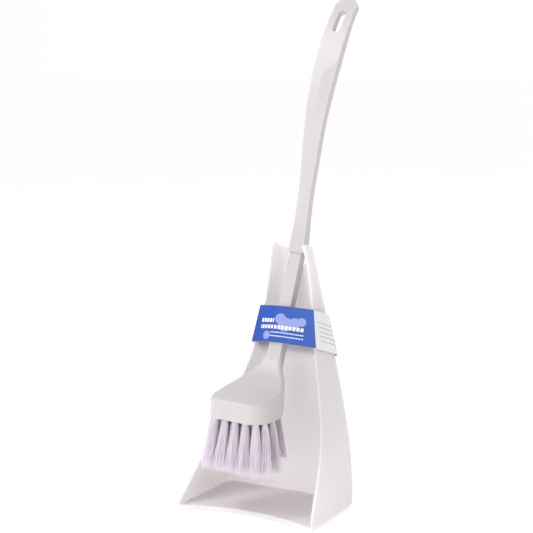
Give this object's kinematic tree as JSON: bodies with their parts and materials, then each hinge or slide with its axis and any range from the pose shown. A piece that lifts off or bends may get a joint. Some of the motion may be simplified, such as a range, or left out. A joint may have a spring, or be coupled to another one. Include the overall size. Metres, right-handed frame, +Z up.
{
  "type": "upright pan and brush set",
  "caption": "Tall open-fronted white plastic pan standing on a flat base, with a long-handled brush hung in it and a printed band round both.",
  "frame": {"origin": "bottom centre of the bounding box, on the surface that the pan stands on", "axes": "+X to the right seen from the open front, +Y from the open front to the back wall, +Z up"},
  "size_m": [0.13, 0.1844, 0.4364],
  "materials": {
    "pan_plastic": "satin injection-moulded white",
    "brush_plastic": "satin injection-moulded white",
    "bristle": "fine filament",
    "staple_steel": "plain wire",
    "sleeve_paper": "printed satin paper"
  },
  "bodies": {
    "pan": {"pan": "pan_plastic"},
    "brush": {"grip": "brush_plastic", "brush_head": "brush_plastic", "tuft_row_1": "bristle", "tuft_row_2": "bristle", "tuft_row_3": "bristle", "tuft_row_4": "bristle", "tuft_row_5": "bristle", "tuft_row_6": "bristle", "tuft_row_7": "bristle", "tuft_row_8": "bristle", "staple_row_1": "staple_steel", "staple_row_2": "staple_steel", "staple_row_3": "staple_steel", "staple_row_4": "staple_steel", "staple_row_5": "staple_steel", "staple_row_6": "staple_steel", "staple_row_7": "staple_steel", "staple_row_8": "staple_steel"},
    "sleeve": {"sleeve": "sleeve_paper"}
  },
  "joints": [
    {"name": "brush_lift", "type": "slide", "parent": "pan", "child": "brush", "axis": [0, 0, 1], "range_m": [0, 0.25]},
    {"name": "band_shift", "type": "slide", "parent": "brush", "child": "sleeve", "axis": [0, 0.025, 0.9997], "range_m": [0, 0.06]}
  ]
}
